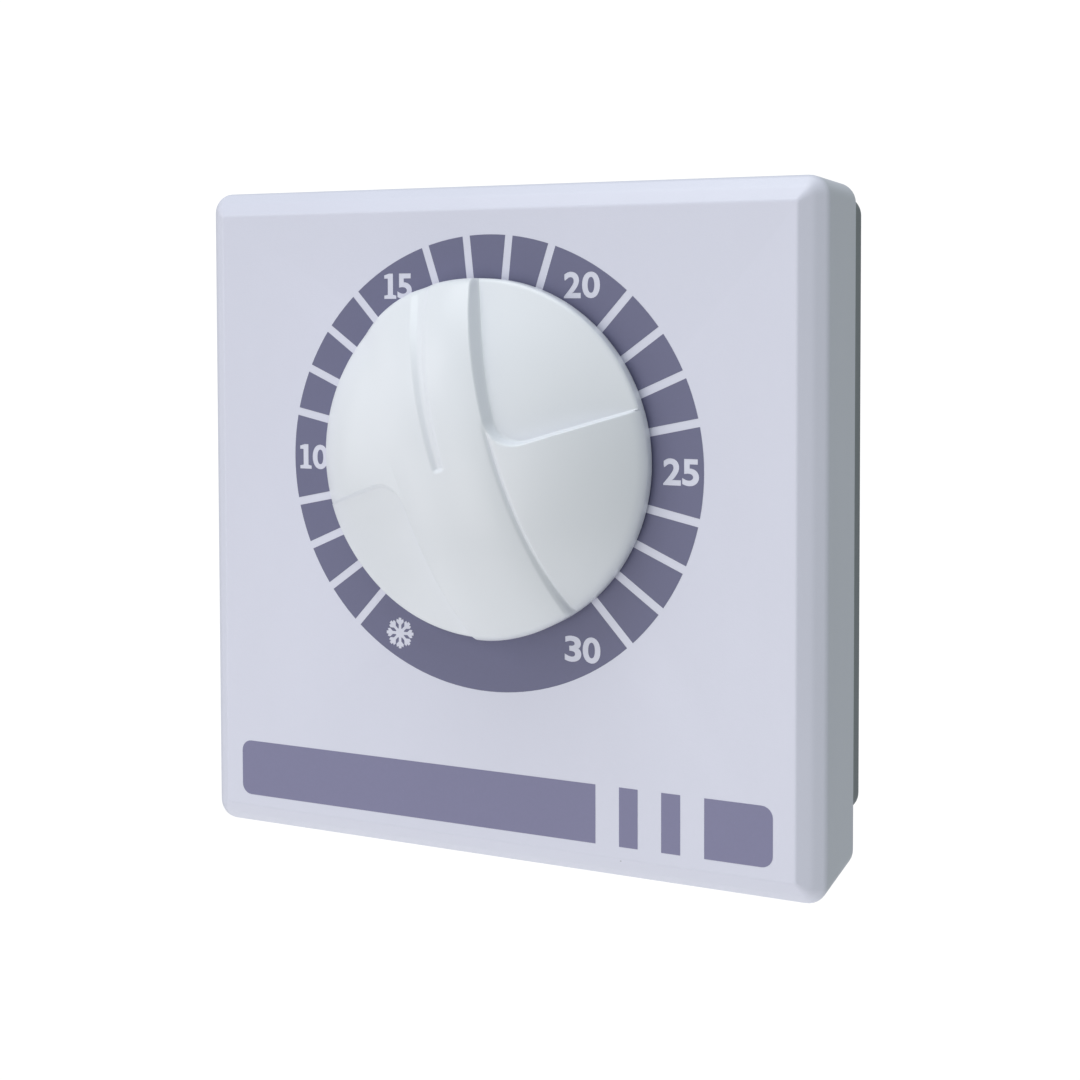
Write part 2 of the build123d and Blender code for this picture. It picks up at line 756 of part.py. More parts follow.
os.makedirs("parts", exist_ok=True)
upright = Rot(90, 0, 0)
for name, shape in pieces.items():
    solids = shape if isinstance(shape, list) else shape.solids()
    turned_up = [upright * solid for solid in solids]
    export_step(turned_up[0] if len(turned_up) == 1 else Compound(children=turned_up),
                f"parts/{name}.step")

print("carriage slide, mm per radian of the knob:", thread_pitch / (2 * math.pi))
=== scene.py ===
"""The looks of a wall thermostat with a turning dial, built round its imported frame.

The file is laid out as an add-on and is run as a script. Every length is in metres. The wall is the
plane Y = 0, the cover's face looks along -Y and +Z is up. Heights on the knob are above the face.
"""

import math

import bmesh
import bpy
from bpy.props import FloatProperty, FloatVectorProperty, IntProperty, PointerProperty
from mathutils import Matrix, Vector
from mathutils.geometry import interpolate_bezier


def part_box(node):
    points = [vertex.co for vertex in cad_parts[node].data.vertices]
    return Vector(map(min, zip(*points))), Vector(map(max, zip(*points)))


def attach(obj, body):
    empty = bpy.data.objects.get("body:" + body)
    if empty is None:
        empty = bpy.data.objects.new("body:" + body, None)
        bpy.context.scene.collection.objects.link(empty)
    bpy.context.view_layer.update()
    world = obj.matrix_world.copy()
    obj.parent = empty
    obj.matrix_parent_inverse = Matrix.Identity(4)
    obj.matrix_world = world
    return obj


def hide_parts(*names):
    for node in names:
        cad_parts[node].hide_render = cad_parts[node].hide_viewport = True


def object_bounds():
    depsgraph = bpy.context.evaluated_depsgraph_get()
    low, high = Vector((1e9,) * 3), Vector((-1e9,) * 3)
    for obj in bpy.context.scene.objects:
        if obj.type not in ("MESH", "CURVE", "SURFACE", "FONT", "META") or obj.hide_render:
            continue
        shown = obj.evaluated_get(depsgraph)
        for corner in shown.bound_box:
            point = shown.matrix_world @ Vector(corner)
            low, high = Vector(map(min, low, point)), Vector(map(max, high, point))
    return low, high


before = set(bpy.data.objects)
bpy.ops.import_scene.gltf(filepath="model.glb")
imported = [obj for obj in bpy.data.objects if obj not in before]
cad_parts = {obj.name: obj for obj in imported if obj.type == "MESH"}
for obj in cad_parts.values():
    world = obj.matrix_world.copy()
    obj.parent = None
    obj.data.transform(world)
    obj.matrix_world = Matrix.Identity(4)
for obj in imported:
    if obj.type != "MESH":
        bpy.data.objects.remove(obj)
cad_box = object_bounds()

bl_info = {
    "name": "Wall Thermostat",
    "version": (1, 0, 0),
    "blender": (4, 5, 0),
    "location": "3D View > Sidebar > Thermostat",
    "description": "Builds the cover, knob, print and finishes of a wall thermostat",
    "category": "Add Mesh",
}

MM = 0.001
COVER_LOW, COVER_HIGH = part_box("cover")
KNOB_LOW, KNOB_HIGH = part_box("knob")
BASE_LOW, BASE_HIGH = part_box("base_plate")
SCREW_LOW, SCREW_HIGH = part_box("cover_screw")
AXIS_X = (KNOB_LOW.x + KNOB_HIGH.x) / 2
AXIS_Z = (KNOB_LOW.z + KNOB_HIGH.z) / 2


# ---- Sizes and colours that a user would change --------------------------------------------
def length(name, description, default):
    """A property that holds a length."""
    return FloatProperty(name=name, description=description, default=default, min=0.0,
                         precision=5, unit="LENGTH", subtype="DISTANCE")


def degrees(name, description, default):
    """A property that holds an angle, given here in degrees."""
    return FloatProperty(name=name, description=description, default=math.radians(default),
                         unit="ROTATION", subtype="ANGLE")


def colour(name, description, default):
    """A property that holds a colour."""
    return FloatVectorProperty(name=name, description=description, default=default, min=0.0,
                               max=1.0, size=3, subtype="COLOR")


class ThermostatCover(bpy.types.PropertyGroup):
    """Sizes of the square cover."""

    knob_gap: length("Knob gap", "From the face to the back of the knob", 0.4 * MM)
    corner_radius: length("Corner radius", "Of the cover's outline, seen from the front", 2.4 * MM)
    bevel_width: length("Bevel width", "Of the sloping border, across the face", 2.9 * MM)
    bevel_depth: length("Bevel depth", "Of the sloping border, towards the wall", 2.3 * MM)
    bevel_swell: length("Bevel swell", "How far the sloping border bulges", 0.14 * MM)
    side_rounding: length("Side rounding", "Between the border and the sides", 1.25 * MM)
    face_rounding: length("Face rounding", "Between the border and the face", 0.7 * MM)
    rear_rounding: length("Rear rounding", "Of the edge next to the base", 0.25 * MM)
    wall: length("Wall", "Thickness of the cover", 2.0 * MM)
    inner_bevel: length("Inner bevel", "Inside, where the sides meet the face", 1.2 * MM)
    vent_count: IntProperty(name="Vents", description="Slots in the top and the bottom",
                            default=11, min=0)
    vent_pitch: length("Vent pitch", "From one slot to the next", 5.0 * MM)
    vent_width: length("Vent width", "Of one slot", 1.8 * MM)
    vent_length: length("Vent length", "Of one slot", 5.5 * MM)
    vent_margin: length("Vent margin", "From the base's lip to a slot", 1.2 * MM)


class ThermostatKnob(bpy.types.PropertyGroup):
    """Sizes of the knob. Heights are above the cover's face."""

    pointer: degrees("Pointer", "Where the groove points, from +X, anticlockwise", 108.0)
    rim_inset: length("Rim inset", "How far the rim stands inside the frame's knob", 0.0)
    grip_width: length("Grip width", "Of the bar across the knob", 12.2 * MM)
    crown: length("Crown", "How far the bar's edges are below its middle line", 1.15 * MM)
    crest: length("Crest", "Height of the bar at the axis", 11.85 * MM)
    crest_end: length("Crest end", "Height of the bar at the rim", 4.2 * MM)
    shoulder: length("Shoulder", "Height that the full quarters would have at the axis", 11.25 * MM)
    shoulder_end: length("Shoulder end", "Height of the full quarters at the rim", 2.5 * MM)
    scoop: length("Scoop", "Height that the hollow quarters would have at the axis", 9.9 * MM)
    scoop_end: length("Scoop end", "Height of the hollow quarters at the rim", 2.3 * MM)
    scoop_corner: length("Scoop corner", "Rounding of the inner corner of a hollow quarter", 3.6 * MM)
    scoop_step: length("Scoop step", "Width of the slope round a hollow quarter", 0.42 * MM)
    groove_width: length("Groove width", "Of the pointer's groove", 1.7 * MM)
    groove_depth: length("Groove depth", "Of the pointer's groove", 0.45 * MM)
    groove_tail: length("Groove tail", "How far the groove runs past the axis", 0.7 * MM)
    seam: length("Seam", "Depth of the fine groove between the bar and a full quarter", 0.34 * MM)
    rim_rounding: length("Rim rounding", "Of the knob's upper edge", 0.8 * MM)
    wall: length("Wall", "Thickness of the knob", 1.8 * MM)


class ThermostatPrint(bpy.types.PropertyGroup):
    """Sizes of what is printed on the cover's face."""

    drop: length("Drop", "How far the ring's middle is below the knob's axis", 0.8 * MM)
    outer_radius: length("Outer radius", "Of the printed ring", 26.6 * MM)
    inner_radius: length("Inner radius", "Of the printed ring, under the knob", 19.4 * MM)
    figure_radius: length("Figure radius", "From the ring's middle to a figure", 23.9 * MM)
    figure_height: length("Figure height", "Of the numbers", 3.0 * MM)
    line_width: length("Line width", "Of the gaps between the ring's fields", 0.95 * MM)
    frost_radius: length("Frost radius", "Of the snowflake", 1.85 * MM)
    film: length("Film", "Thickness of the ink", 0.02 * MM)
    stripe_top: length("Stripe top", "From the ring's middle down to the stripes", 35.97 * MM)
    stripe_height: length("Stripe height", "Of the stripes under the ring", 6.78 * MM)
    stripe_corner: length("Stripe corner", "Rounding at the row's two ends", 1.3 * MM)


class ThermostatFinishes(bpy.types.PropertyGroup):
    """Colours of the finishes."""

    cover: colour("Cover", "Moulded plastic of the cover", (0.715, 0.715, 0.858))
    knob: colour("Knob", "Glossy plastic of the knob", (0.790, 0.805, 0.880))
    ink: colour("Ink", "Print of the ring", (0.150, 0.150, 0.262))
    stripe_ink: colour("Stripe ink", "Print of the stripes", (0.215, 0.208, 0.355))
    # The base's dark grey is partly its own tone and partly painted shade, set to the strip of base that
    # lies in shade beside the cover.
    base: colour("Base", "Moulded plastic of the base", (0.20, 0.215, 0.26))
    zinc: colour("Zinc", "Plated steel", (0.62, 0.64, 0.66))
    brass: colour("Brass", "Terminals and strips", (0.78, 0.57, 0.24))
    bronze: colour("Bronze", "Switch contacts", (0.72, 0.43, 0.24))
    switch: colour("Switch", "Case of the snap switch", (0.045, 0.045, 0.050))
    plunger: colour("Plunger", "Switch plunger", (0.62, 0.08, 0.05))
    terminal: colour("Terminal", "Terminal block", (0.70, 0.69, 0.62))
    carriage: colour("Carriage", "Capsule carriage", (0.82, 0.80, 0.72))
    capsule: colour("Capsule", "Sheet metal of the gas capsule", (0.70, 0.69, 0.65))
    resistor: colour("Resistor", "Lacquer of the resistor", (0.56, 0.40, 0.22))


class ThermostatStage(bpy.types.PropertyGroup):
    """The floor, the lights and the camera."""

    floor_drop: length("Floor drop", "How far the floor is below the thermostat", 0.25)
    floor_radius: length("Floor radius", "Of the round floor", 0.36)
    lens: FloatProperty(name="Lens", description="Focal length in millimetres", default=49.6,
                        min=1.0)
    azimuth: degrees("Azimuth", "Turn of the camera to the thermostat's right", 21.54)
    tilt: degrees("Tilt", "How far the camera looks down", 1.97)
    shift_x: FloatProperty(name="Shift X", description="Sideways shift of the lens",
                           default=-0.108)
    shift_y: FloatProperty(name="Shift Y", description="Upright shift of the lens",
                           default=-0.165)
    camera_place: FloatVectorProperty(name="Camera place", description="Where the camera stands",
                                      default=(0.0814, -0.1735, 0.0251), size=3, unit="LENGTH",
                                      subtype="TRANSLATION")


class ThermostatSettings(bpy.types.PropertyGroup):
    """Everything that the panel shows."""

    cover: PointerProperty(type=ThermostatCover)
    knob: PointerProperty(type=ThermostatKnob)
    print: PointerProperty(type=ThermostatPrint)
    finishes: PointerProperty(type=ThermostatFinishes)
    stage: PointerProperty(type=ThermostatStage)


# ---- Shader maths --------------------------------------------------------------------------
class Wire:
    """A value that varies over a surface. Arithmetic on it adds Math nodes to its finish."""

    def __init__(self, finish, socket):
        self.finish = finish
        self.socket = socket

    def math(self, operation, *values):
        return self.finish.add("ShaderNodeMath", {"operation": operation}, list(values))

    def __add__(self, other):
        return self.math("ADD", self, other)

    def __radd__(self, other):
        return self.math("ADD", other, self)

    def __sub__(self, other):
        return self.math("SUBTRACT", self, other)

    def __rsub__(self, other):
        return self.math("SUBTRACT", other, self)

    def __mul__(self, other):
        return self.math("MULTIPLY", self, other)

    def __rmul__(self, other):
        return self.math("MULTIPLY", other, self)

    def below(self, level):
        """1 where the value is below the level, and 0 elsewhere."""
        return self.math("LESS_THAN", self, level)


class Finish:
    """The nodes of a material or a world in the making. All of them come from add."""

    def __init__(self, name, family="materials"):
        self.owner = getattr(bpy.data, family).new(name)
        self.owner.use_nodes = True
        self.tree = self.owner.node_tree
        self.tree.nodes.clear()

    def add(self, kind, settings=None, inputs=None, output=None):
        """Adds a node, sets it up, and then gives its sockets their values or links."""
        node = self.tree.nodes.new(kind)
        for name, value in (settings or {}).items():
            if name == "stops":
                self.set_stops(node.color_ramp, value)
            else:
                setattr(node, name, value)
        if isinstance(inputs, dict):
            pairs = [(self.named(node.inputs, name), value) for name, value in inputs.items()]
        else:
            pairs = list(zip(node.inputs, inputs or []))
        for socket, value in pairs:
            if isinstance(value, Wire):
                self.tree.links.new(value.socket, socket)
            elif socket.type == "RGBA":
                socket.default_value = (*value, 1.0)
            else:
                socket.default_value = value
        outputs = [o for o in node.outputs if o.enabled]
        if not outputs:
            return None
        return Wire(self, outputs[0] if output is None else node.outputs[output])

    @staticmethod
    def named(sockets, name):
        return next(s for s in sockets if s.name == name and s.enabled)

    @staticmethod
    def set_stops(ramp, stops):
        while len(ramp.elements) < len(stops):
            ramp.elements.new(1.0)
        for element, (place, tone) in zip(ramp.elements, stops):
            element.position = place
            element.color = (tone, tone, tone, 1.0)

    def place(self):
        """Where a point is on the object, in metres."""
        return self.add("ShaderNodeTexCoord", output="Object")

    def noise(self, place, scale, detail=3.0, roughness=0.5):
        """Soft random values round one half. Scale is in waves a metre."""
        return self.add("ShaderNodeTexNoise", None,
                        {"Vector": place, "Scale": scale, "Detail": detail,
                         "Roughness": roughness}, "Fac")

    def cells(self, place, scale):
        """Distance to the nearest of many scattered points."""
        return self.add("ShaderNodeTexVoronoi", {"feature": "F1"},
                        {"Vector": place, "Scale": scale, "Randomness": 1.0}, "Distance")

    def ramp(self, value, *stops):
        """A grey value by stops of (place, tone)."""
        return self.add("ShaderNodeValToRGB", {"stops": stops}, {"Fac": value}, "Color")

    def mix(self, factor, one, two):
        """A colour between two colours."""
        return self.add("ShaderNodeMix", {"data_type": "RGBA"},
                        {"Factor": factor, "A": one, "B": two})

    def stretch(self, place, x, y, z):
        """The place with each direction scaled."""
        return self.add("ShaderNodeVectorMath", {"operation": "MULTIPLY"}, [place, (x, y, z)])

    def edges(self, low, high):
        """1 along outward edges and 0 on flat surfaces."""
        pointiness = self.add("ShaderNodeNewGeometry", output="Pointiness")
        return self.ramp(pointiness, (low, 0.0), (high, 1.0))

    def bump(self, height, distance, strength=1.0):
        return self.add("ShaderNodeBump", None,
                        {"Height": height, "Distance": distance, "Strength": strength}, "Normal")

    def close(self, **inputs):
        """Adds the shader and the output. Underscores in the names stand for spaces."""
        named = {name.replace("_", " "): value for name, value in inputs.items()}
        shader = self.add("ShaderNodeBsdfPrincipled", None, named)
        self.add("ShaderNodeOutputMaterial", None, {"Surface": shader})
        return self.owner


def lighter(tone, amount):
    """A colour with every channel scaled and kept within 1."""
    return tuple(min(1.0, channel * amount) for channel in tone)


# ---- Finishes ------------------------------------------------------------------------------
def moulded_plastic(name, tone, roughness, grain, coat=0.0, specks=True, flow_marks=0.35):
    """Opaque moulded plastic: faint clouding, a fine grain, handled edges and a few dark specks."""
    finish = Finish(name)
    place = finish.place()
    cloud = finish.noise(place, 38.0, 2.0)
    flow = finish.noise(finish.stretch(place, 1.0, 1.0, 0.35), 160.0, 4.0)
    fine = finish.noise(place, 5200.0, 2.0)
    scuff = finish.noise(place, 620.0, 5.0, 0.6)
    worn = finish.edges(0.505, 0.56)
    mottle = 0.5 * cloud + 0.5 * flow
    base = finish.mix(mottle, lighter(tone, 0.965), lighter(tone, 1.03))
    base = finish.mix(0.35 * worn, base, lighter(tone, 1.09))
    if specks:
        speck = finish.cells(place, 120.0).below(0.012)
        base = finish.mix(0.75 * speck, base, lighter(tone, 0.25))
    rough = roughness + 0.10 * (cloud - 0.5) + 0.08 * (scuff - 0.5) - 0.06 * worn
    relief = fine * grain + flow * flow_marks
    normal = finish.bump(relief, 0.02 * MM)
    return finish.close(Base_Color=base, Roughness=rough, Normal=normal, Coat_Weight=coat,
                        Coat_Roughness=0.12, IOR=1.5)


def printed_ink(name, tone):
    """Screen-printed ink: a slightly uneven film with a matt, pitted surface."""
    finish = Finish(name)
    place = finish.place()
    cloud = finish.noise(place, 55.0, 3.0)
    weave = finish.noise(place, 2600.0, 2.0)
    pin = finish.cells(place, 900.0).below(0.035)
    base = finish.mix(0.6 * cloud + 0.4 * weave, lighter(tone, 0.93), lighter(tone, 1.08))
    base = finish.mix(0.35 * pin, base, lighter(tone, 1.7))
    rough = 0.46 + 0.16 * (weave - 0.5) + 0.10 * (cloud - 0.5)
    normal = finish.bump(weave, 0.006 * MM)
    return finish.close(Base_Color=base, Roughness=rough, Normal=normal, IOR=1.48)


def plated_metal(name, tone, roughness, brushed=(1.0, 1.0, 1.0), stain=0.25):
    """Metal with a rolled or plated surface, duller patches and bright edges."""
    finish = Finish(name)
    place = finish.place()
    lines = finish.noise(finish.stretch(place, *brushed), 1800.0, 4.0, 0.6)
    patch = finish.noise(place, 260.0, 4.0)
    worn = finish.edges(0.51, 0.58)
    base = finish.mix(stain * patch, lighter(tone, 1.05), lighter(tone, 0.62))
    base = finish.mix(0.5 * worn, base, lighter(tone, 1.25))
    rough = roughness + 0.16 * (lines - 0.5) + 0.22 * (patch - 0.5) - 0.08 * worn
    normal = finish.bump(lines, 0.012 * MM)
    return finish.close(Base_Color=base, Roughness=rough, Normal=normal, Metallic=1.0)


def lacquered_body(name, tone, band_tones):
    """Resistor lacquer, thick and glossy, with broad darker clouds and a pitted skin."""
    finish = Finish(name)
    place = finish.place()
    cloud = finish.noise(place, 700.0, 3.0)
    waves = finish.add("ShaderNodeTexWave", {"bands_direction": "Z"},
                       {"Vector": place, "Scale": 110.0, "Distortion": 0.4}, "Fac")
    base = finish.mix(cloud, lighter(tone, 0.85), lighter(tone, 1.1))
    base = finish.mix(finish.ramp(waves, (0.86, 0.0), (0.90, 1.0)), base, band_tones)
    rough = 0.22 + 0.15 * cloud
    normal = finish.bump(cloud, 0.03 * MM)
    return finish.close(Base_Color=base, Roughness=rough, Normal=normal)


# ---- Mesh helpers --------------------------------------------------------------------------
def stand(name, data):
    """A new object in the scene."""
    made = bpy.data.objects.new(name, data)
    bpy.context.scene.collection.objects.link(made)
    return made


def clean(mesh):
    """Merges points that lie together, and turns the faces outwards."""
    work = bmesh.new()
    work.from_mesh(mesh)
    bmesh.ops.remove_doubles(work, verts=work.verts, dist=0.0005 * MM)
    bmesh.ops.recalc_face_normals(work, faces=work.faces)
    work.to_mesh(mesh)
    work.free()


def drawn_mesh(target):
    """The mesh that an object's modifiers or outlines give."""
    bpy.context.view_layer.update()
    graph = bpy.context.evaluated_depsgraph_get()
    return bpy.data.meshes.new_from_object(target.evaluated_get(graph))


class Shape:
    """Points and faces on their way to becoming a mesh object."""

    def __init__(self):
        self.points = []
        self.faces = []

    def row(self, points):
        """Adds points and returns their numbers."""
        first = len(self.points)
        self.points.extend(points)
        return list(range(first, len(self.points)))

    def bridge(self, one, two, closed=True):
        """Joins two rows of the same length with quads."""
        count = len(one)
        for i in range(count if closed else count - 1):
            j = (i + 1) % count
            self.faces.append((one[i], one[j], two[j], two[i]))

    def loft(self, rings, capped=True):
        """Joins rings in order, and closes both ends, or joins the last ring to the first."""
        rows = [self.row(ring) for ring in rings]
        for one, two in zip(rows, rows[1:]):
            self.bridge(one, two)
        if capped:
            self.faces.append(tuple(rows[0]))
            self.faces.append(tuple(rows[-1]))
        else:
            self.bridge(rows[-1], rows[0])
        return rows

    def build(self, name):
        """The finished object, with its faces turned outwards."""
        mesh = bpy.data.meshes.new(name)
        mesh.from_pydata(self.points, [], self.faces)
        clean(mesh)
        return stand(name, mesh)


def arc(centre, radius, start, end, steps):
    """Points on an arc, both ends among them, angles in degrees."""
    angles = [math.radians(start + (end - start) * i / steps) for i in range(steps + 1)]
    return [(centre[0] + radius * math.cos(a), centre[1] + radius * math.sin(a)) for a in angles]


def circle(radius, steps, x=AXIS_X, z=AXIS_Z):
    """Points on a circle, round the dial's axis unless a middle is given."""
    return arc((x, z), radius, 0, 360, steps)[:-1]


def rounded_outline(half_width, half_height, radius, steps=8, centre=(0.0, 0.0)):
    """A rectangle with round corners, anticlockwise."""
    points = []
    for quarter, (side, up) in enumerate(((1, 1), (-1, 1), (-1, -1), (1, -1))):
        corner = (centre[0] + side * (half_width - radius), centre[1] + up * (half_height - radius))
        points += arc(corner, radius, 90 * quarter, 90 * quarter + 90, steps)
    return points


def rounded_corner(before, corner, after, radius, steps=6):
    """An arc that replaces the corner of a path."""
    corner = Vector(corner)
    back = (Vector(before) - corner).normalized()
    ahead = (Vector(after) - corner).normalized()
    half = back.angle(ahead) / 2
    reach = radius / math.tan(half)
    middle = corner + (back + ahead).normalized() * radius / math.sin(half)
    start = corner + back * reach - middle
    end = corner + ahead * reach - middle
    turn = start.angle_signed(end)
    points = []
    for i in range(steps + 1):
        angle = -turn * i / steps
        spoke = Vector((start.x * math.cos(angle) - start.y * math.sin(angle),
                        start.x * math.sin(angle) + start.y * math.cos(angle)))
        points.append(tuple(middle + spoke))
    return points


def prism(name, outline, start, end, along):
    """A solid with an outline, stretched along Y or Z."""
    shape = Shape()
    rings = []
    for place in (start, end):
        if along == "Y":
            rings.append([(a, place, b) for a, b in outline])
        else:
            rings.append([(a, b, place) for a, b in outline])
    shape.loft(rings)
    return shape.build(name)


def settle(target):
    """Makes what the modifiers give the object's own mesh."""
    mesh = drawn_mesh(target)
    target.modifiers.clear()
    target.data = mesh


def combine(target, tool, operation="DIFFERENCE"):
    """Cuts the tool out of the target, or joins it on, and takes the tool away."""
    modifier = target.modifiers.new(operation.lower(), "BOOLEAN")
    modifier.operation = operation
    modifier.solver = "EXACT"
    modifier.object = tool
    settle(target)
    bpy.data.objects.remove(tool)


def soften(target, angle):
    """Smooth shading, apart from edges sharper than the angle in degrees."""
    for face in target.data.polygons:
        face.use_smooth = True
    target.data.set_sharp_from_angle(angle=math.radians(angle))


def dress(target, material):
    """Gives a new object its one material."""
    target.data.materials.clear()
    target.data.materials.append(material)


def finish_nodes(material, *nodes):
    """Gives nodes of the frame their material."""
    for node in nodes:
        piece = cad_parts[node]
        if not piece.material_slots:
            piece.data.materials.append(material)
        for slot in piece.material_slots:
            slot.material = material


def smoothstep(value):
    """0 below 0, 1 above 1, and an even curve between."""
    value = min(1.0, max(0.0, value))
    return value * value * (3 - 2 * value)


# ---- Cover ---------------------------------------------------------------------------------
def cover_section(size, depth):
    """The cover's section from the middle of its face to its rear edge, as (inset, depth)."""
    middle = (size.bevel_width / 2 - size.bevel_swell, size.bevel_depth / 2 - size.bevel_swell)
    face = (2 * size.bevel_width, 0.0)
    inner = (size.bevel_width, 0.0)
    outer = (0.0, size.bevel_depth)
    rear = (0.0, depth)
    rear_inside = (size.wall, depth)
    points = rounded_corner(face, inner, middle, size.face_rounding)
    points += rounded_corner(inner, middle, outer, 2.5 * size.side_rounding, 3)
    points += rounded_corner(middle, outer, rear, size.side_rounding)
    points += rounded_corner(outer, rear, rear_inside, size.rear_rounding, 4)
    return points


def cover_inside(size, depth):
    """The section inside the cover, from its rear edge to its ceiling, as (inset, depth)."""
    ceiling = size.wall
    return [(size.wall, depth), (size.wall, ceiling + size.inner_bevel),
            (size.wall + size.inner_bevel, ceiling)]


def build_cover(size):
    """The cover: a lofted shell with vents. The lug pockets, the dial's hole and the stop under the knob
    are cut later.
    """
    face = KNOB_HIGH.y + size.knob_gap
    half_width = (COVER_HIGH.x - COVER_LOW.x) / 2
    half_height = (COVER_HIGH.z - COVER_LOW.z) / 2
    depth = COVER_HIGH.y - face
    rings = []
    for inset, down in cover_section(size, depth) + cover_inside(size, depth):
        radius = max(size.corner_radius - inset, 0.35 * MM)
        outline = rounded_outline(half_width - inset, half_height - inset, radius)
        rings.append([(x, face + down, z) for x, z in outline])
    shape = Shape()
    shape.loft(rings)
    cover = shape.build("cover_shell")

    vent_middle = BASE_LOW.y - size.vent_margin - size.vent_length / 2
    for up in (-1, 1):
        for i in range(size.vent_count):
            x = size.vent_pitch * (i - (size.vent_count - 1) / 2)
            outline = rounded_outline(size.vent_width / 2, size.vent_length / 2,
                                      0.45 * size.vent_width, 5, (x, vent_middle))
            start = up * (half_height - 1.6 * size.wall)
            end = up * (half_height + size.wall)
            combine(cover, prism("vent_cutter", outline, start, end, "Z"))
    return cover, face


STOP_INNER = 8.0 * MM
STOP_OUTER = 11.8 * MM
STOP_HALF_ANGLE = 14.5


def stop_outline(middle, steps):
    """A piece of a ring about the dial's axis, as the stop's block and rib have it. In degrees."""
    axis = (AXIS_X, AXIS_Z)
    start, end = middle - STOP_HALF_ANGLE, middle + STOP_HALF_ANGLE
    return arc(axis, STOP_OUTER, start, end, steps) + arc(axis, STOP_INNER, end, start, steps)


def fit_under_knob(cover, face, size):
    """Cuts the holes that the knob hides, and adds the block that stops its turn."""
    dial_hole_radius = 5.5 * MM
    shank_hole_radius = 1.45 * MM
    head_clearance = 0.2 * MM
    screw_x = (SCREW_LOW.x + SCREW_HIGH.x) / 2
    head_radius = (SCREW_HIGH.x - SCREW_LOW.x) / 2 + head_clearance
    stop = prism("stop_block", stop_outline(270, 12), face + size.wall / 2, COVER_LOW.y, "Y")
    combine(cover, stop, "UNION")
    for name, outline, depth in (
            ("dial_hole", circle(dial_hole_radius, 48), 2 * size.wall),
            ("screw_recess", circle(head_radius, 32, screw_x), size.wall / 2),
            ("screw_hole", circle(shank_hole_radius, 24, screw_x), 2 * size.wall)):
        combine(cover, prism(name, outline, face - size.wall, face + depth, "Y"))


def cut_lug_pockets(cover, size):
    """The two pockets at the top that the base's lugs click into."""
    lug_offset = 20.0 * MM
    half_width = 4.25 * MM
    clearance = 0.25 * MM
    lug_setback = 0.675 * MM
    lug_thickness = 1.2 * MM
    low = COVER_HIGH.z - size.wall - clearance
    high = min(BASE_HIGH.z, COVER_HIGH.z - size.wall / 2) + clearance
    lug_middle = BASE_LOW.y + lug_setback + lug_thickness / 2
    for side in (-1, 1):
        outline = rounded_outline(half_width, lug_thickness / 2 + clearance, 0.2 * MM, 2,
                                  (side * lug_offset, lug_middle))
        combine(cover, prism("lug_pocket", outline, low, high, "Z"))


class THERMOSTAT_OT_cover(bpy.types.Operator):
    """Builds the moulded cover in place of the plain one"""

    bl_idname = "thermostat.cover"
    bl_label = "Cover"

    def execute(self, context):
        settings = context.scene.thermostat
        cover, face = build_cover(settings.cover)
        cut_lug_pockets(cover, settings.cover)
        fit_under_knob(cover, face, settings.cover)
        soften(cover, 32)
        flat = cover.modifiers.new("flat_faces", "WEIGHTED_NORMAL")
        flat.keep_sharp = True
        settle(cover)
        dress(cover, moulded_plastic("cover_plastic_finish", settings.finishes.cover, 0.40, 0.5))
        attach(cover, "housing")
        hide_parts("cover")
        return {"FINISHED"}


